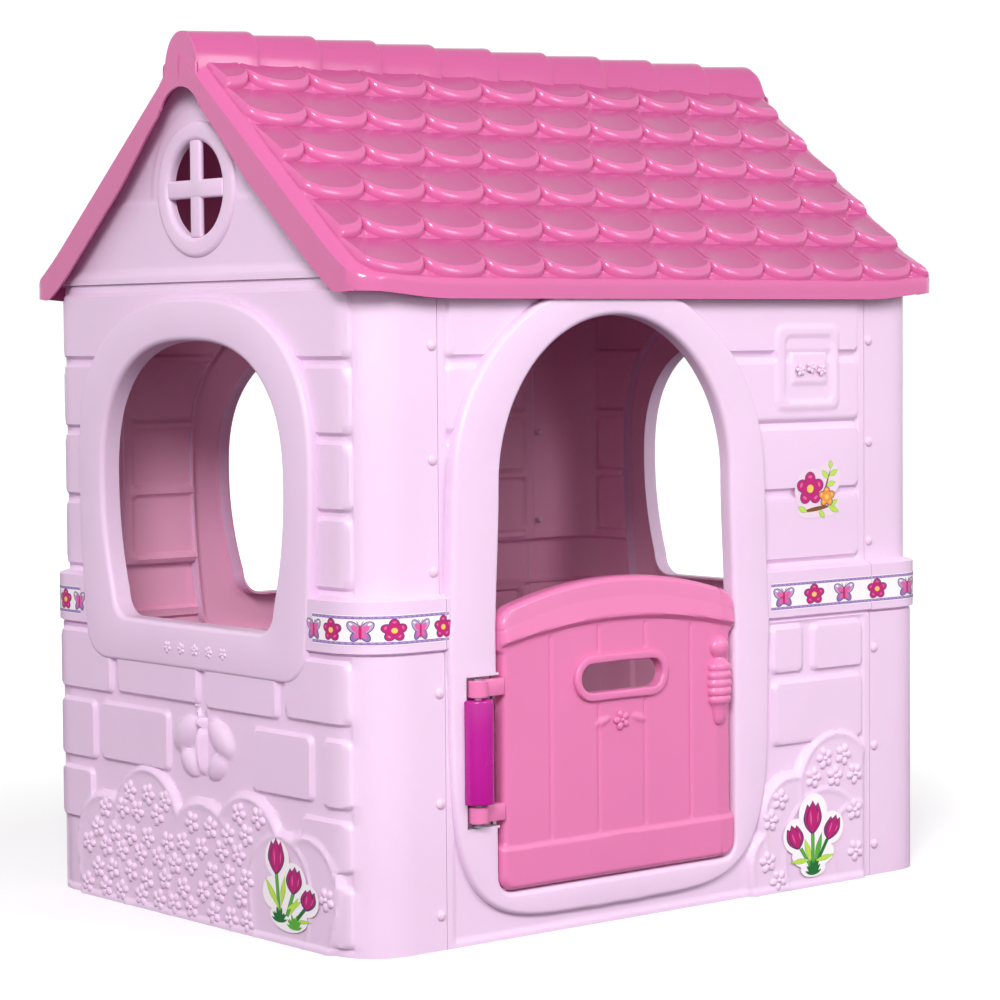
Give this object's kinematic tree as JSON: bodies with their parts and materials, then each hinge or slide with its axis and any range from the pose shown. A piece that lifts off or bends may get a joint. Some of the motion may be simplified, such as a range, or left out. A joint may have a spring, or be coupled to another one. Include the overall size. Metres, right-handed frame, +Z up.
{
  "type": "plastic playhouse",
  "caption": "Moulded plastic playhouse with brick relief walls, arched windows, shingled gable roof and a hinged half door with a letter slot.",
  "frame": {"origin": "middle of the footprint, on the floor under the walls", "axes": "+Z up, -Y towards the door side, X along the roof ridge"},
  "size_m": [1.104, 0.8295, 1.2431],
  "materials": {
    "wall": "satin moulded polyethylene",
    "peg": "satin moulded polyethylene",
    "roof": "glossy moulded polyethylene",
    "hinge": "glossy moulded plastic",
    "pin": "drawn steel rod",
    "screw": "zinc plated",
    "door": "satin moulded polyethylene",
    "sticker": "printed vinyl"
  },
  "bodies": {
    "house": {"left_wall": "wall", "right_wall": "wall", "front_wall": "wall", "back_wall": "wall", "left_gable": "wall", "right_gable": "wall", "pegs_front_left": "peg", "pegs_front_right": "peg", "pegs_back_left": "peg", "pegs_back_right": "peg", "gable_pegs_left": "peg", "gable_pegs_right": "peg", "roof_pegs_left": "peg", "roof_pegs_right": "peg", "roof_front": "roof", "roof_back": "roof", "hinge_barrel": "hinge", "hinge_pin": "pin", "hinge_screws": "screw", "band_sticker_left": "sticker", "band_sticker_right": "sticker", "band_sticker_front": "sticker", "band_sticker_back": "sticker", "tulip_sticker_side": "sticker", "tulip_sticker_front": "sticker", "sprig_sticker": "sticker"},
    "half_door": {"door_panel": "door"}
  },
  "joints": [
    {"name": "door_hinge", "type": "hinge", "parent": "house", "child": "half_door", "pos_m": [-0.36, -0.402, 0.261], "axis": [0, 0, -1], "range_deg": [0, 160]}
  ]
}
